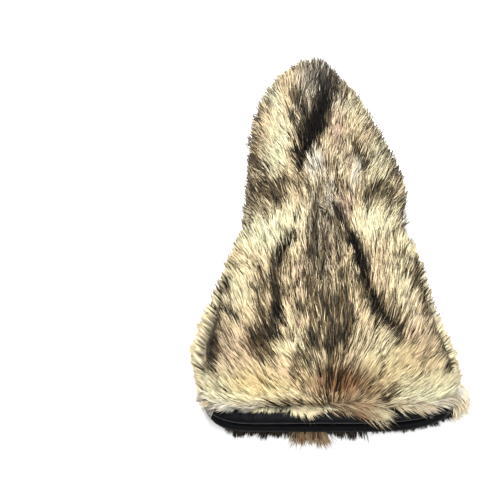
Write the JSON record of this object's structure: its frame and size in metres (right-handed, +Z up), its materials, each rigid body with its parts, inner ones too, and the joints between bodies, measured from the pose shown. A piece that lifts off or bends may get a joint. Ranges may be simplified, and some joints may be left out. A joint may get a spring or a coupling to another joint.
{
  "type": "fur gauntlet mitten",
  "caption": "Long-haired fur gauntlet mitten lying palm down, with a wide flared cuff bound in black leather, a tapered hand and an open lined hollow",
  "frame": {"origin": "bottom centre of the box round the whole mitten, on the surface that it lies on", "axes": "+Y from the mouth of the cuff towards the fingertip, +X towards the side away from the thumb, +Z up; the palm faces down"},
  "size_m": [0.2782, 0.41, 0.0672],
  "materials": {
    "back_fur": "long fur in cream, beige, grey-brown and black, on a tanned skin",
    "palm_fur": "long pale fur on a tanned skin",
    "thumb_fur": "pressed pale fur on a tanned skin",
    "lining_cloth": "dull black woven cloth",
    "binding_leather": "smooth black leather, softly shining"
  },
  "bodies": {
    "root": {"back_coat": "back_fur", "palm_coat": "palm_fur", "thumb_coat": "thumb_fur", "lining_back": "lining_cloth", "lining_palm": "lining_cloth", "cuff_binding": "binding_leather"}
  },
  "joints": []
}
